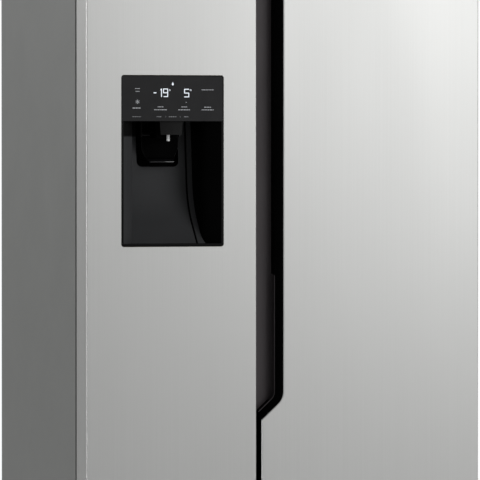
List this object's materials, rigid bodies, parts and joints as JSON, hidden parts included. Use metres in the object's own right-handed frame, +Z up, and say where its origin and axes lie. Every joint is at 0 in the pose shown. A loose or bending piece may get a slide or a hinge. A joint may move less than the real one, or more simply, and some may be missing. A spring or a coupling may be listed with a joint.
{
  "type": "side by side refrigerator",
  "caption": "Side by side refrigerator with an ice and water dispenser in the freezer door and a full-height handle recess in the fridge door.",
  "frame": {"origin": "on the floor, under the middle of the width and depth", "axes": "+Z up, the doors face -Y, +X to the right of a person facing the doors"},
  "size_m": [0.91, 0.643, 1.786],
  "materials": {
    "case_paint": "satin",
    "galvanised": "matte",
    "door_steel": "satin",
    "black_satin": "satin",
    "black_gloss": "gloss",
    "grey_plastic": "satin",
    "white_plastic": "satin",
    "foam": "matte",
    "shelf_glass": "gloss",
    "clear_plastic": "gloss",
    "gasket_rubber": "matte",
    "black_rubber": "matte",
    "aluminium": "satin",
    "hinge_steel": "satin",
    "compressor_black": "satin",
    "lamp_lens": "matte"
  },
  "bodies": {
    "cabinet": {"outer_shell": "case_paint", "back_panel": "galvanised", "stepped_floor": "galvanised", "base_frame": "galvanised", "cabinet_insulation": "foam", "freezer_liner": "white_plastic", "fridge_liner": "white_plastic", "centre_strip": "case_paint", "evaporator_cover": "white_plastic", "evaporator_coil": "aluminium", "fan_motors": "grey_plastic", "fridge_air_duct": "white_plastic", "glass_shelves": "shelf_glass", "shelf_trims": "white_plastic", "ice_maker": "grey_plastic", "ice_bucket": "clear_plastic", "ice_auger_motor": "grey_plastic", "cabinet_lights": "lamp_lens", "upper_hinges": "hinge_steel", "hinge_covers": "grey_plastic", "lower_hinges": "hinge_steel", "case_screws": "hinge_steel", "control_box": "grey_plastic", "compressor": "compressor_black", "compressor_grommets": "black_rubber", "condenser_coil": "aluminium", "machine_cover": "galvanised", "water_valve": "grey_plastic", "mains_gland": "black_satin", "levelling_feet": "black_satin", "kick_plate": "grey_plastic"},
    "freezer_door": {"freezer_door_skin": "door_steel", "freezer_door_core": "foam", "freezer_door_liner": "white_plastic", "freezer_door_gasket": "gasket_rubber", "freezer_door_caps": "grey_plastic", "freezer_door_edge_trim": "black_satin", "freezer_door_bins": "clear_plastic", "dispenser_housing": "black_satin", "dispenser_panel": "black_gloss", "ice_chute": "black_satin", "water_spout": "white_plastic"},
    "fridge_door": {"fridge_door_skin": "door_steel", "fridge_door_core": "foam", "fridge_door_liner": "white_plastic", "fridge_door_gasket": "gasket_rubber", "fridge_door_caps": "grey_plastic", "handle_trim": "black_satin", "fridge_door_bins": "clear_plastic"},
    "evaporator_fan": {"evaporator_fan": "black_satin"},
    "condenser_fan": {"condenser_fan": "black_satin"},
    "ice_auger": {"ice_auger": "grey_plastic"},
    "rear_rollers": {"rear_rollers": "black_satin"},
    "freezer_drawer_upper": {"freezer_drawer_upper": "clear_plastic"},
    "freezer_drawer_lower": {"freezer_drawer_lower": "clear_plastic"},
    "fridge_drawer_upper": {"fridge_drawer_upper": "clear_plastic"},
    "fridge_drawer_lower": {"fridge_drawer_lower": "clear_plastic"},
    "dispenser_paddle": {"dispenser_paddle": "black_gloss"},
    "chute_flap": {"chute_flap": "black_satin"},
    "dairy_lid": {"dairy_lid": "clear_plastic"}
  },
  "joints": [
    {"name": "freezer_door_hinge", "type": "hinge", "parent": "cabinet", "child": "freezer_door", "pos_m": [-0.435, -0.275, 0.05], "axis": [0, 0, -1], "range_deg": [0, 120]},
    {"name": "fridge_door_hinge", "type": "hinge", "parent": "cabinet", "child": "fridge_door", "pos_m": [0.435, -0.275, 0.05], "axis": [0, 0, 1], "range_deg": [0, 120]},
    {"name": "dispenser_paddle_press", "type": "hinge", "parent": "freezer_door", "child": "dispenser_paddle", "pos_m": [-0.2586, -0.2295, 1.27], "axis": [1, 0, 0], "range_deg": [0, 10], "stiffness_Nm_per_rad": 0.3, "springref_deg": -11.46},
    {"name": "chute_flap_open", "type": "hinge", "parent": "freezer_door", "child": "chute_flap", "pos_m": [-0.2586, -0.2765, 1.294], "axis": [-1, 0, 0], "range_deg": [0, 56]},
    {"name": "dairy_lid_hinge", "type": "hinge", "parent": "fridge_door", "child": "dairy_lid", "pos_m": [0.2, -0.267, 1.536], "axis": [1, 0, 0], "range_deg": [0, 85]},
    {"name": "evaporator_fan_spin", "type": "hinge", "parent": "cabinet", "child": "evaporator_fan", "pos_m": [-0.2485, 0.202, 0.9], "axis": [0, 1, 0], "continuous": true},
    {"name": "condenser_fan_spin", "type": "hinge", "parent": "cabinet", "child": "condenser_fan", "pos_m": [0.01, 0.22575, 0.135], "axis": [1, 0, 0], "continuous": true},
    {"name": "ice_auger_spin", "type": "hinge", "parent": "cabinet", "child": "ice_auger", "pos_m": [-0.2586, 0, 1.472], "axis": [0, 1, 0], "continuous": true},
    {"name": "rear_roller_spin", "type": "hinge", "parent": "cabinet", "child": "rear_rollers", "pos_m": [0, 0.2715, 0.014], "axis": [1, 0, 0], "continuous": true},
    {"name": "freezer_drawer_upper_slide", "type": "slide", "parent": "cabinet", "child": "freezer_drawer_upper", "axis": [0, -1, 0], "range_m": [0, 0.16]},
    {"name": "freezer_drawer_lower_slide", "type": "slide", "parent": "cabinet", "child": "freezer_drawer_lower", "axis": [0, -1, 0], "range_m": [0, 0.16]},
    {"name": "fridge_drawer_upper_slide", "type": "slide", "parent": "cabinet", "child": "fridge_drawer_upper", "axis": [0, -1, 0], "range_m": [0, 0.16]},
    {"name": "fridge_drawer_lower_slide", "type": "slide", "parent": "cabinet", "child": "fridge_drawer_lower", "axis": [0, -1, 0], "range_m": [0, 0.16]}
  ],
  "couplings": [
    {"joint": "chute_flap_open", "follows": "dispenser_paddle_press", "ratio": 5.6},
    {"joint": "freezer_drawer_upper_slide", "follows": "freezer_door_hinge", "m_per_rad": 0.0763},
    {"joint": "freezer_drawer_lower_slide", "follows": "freezer_door_hinge", "m_per_rad": 0.0763},
    {"joint": "fridge_drawer_upper_slide", "follows": "fridge_door_hinge", "m_per_rad": 0.0763},
    {"joint": "fridge_drawer_lower_slide", "follows": "fridge_door_hinge", "m_per_rad": 0.0763}
  ]
}
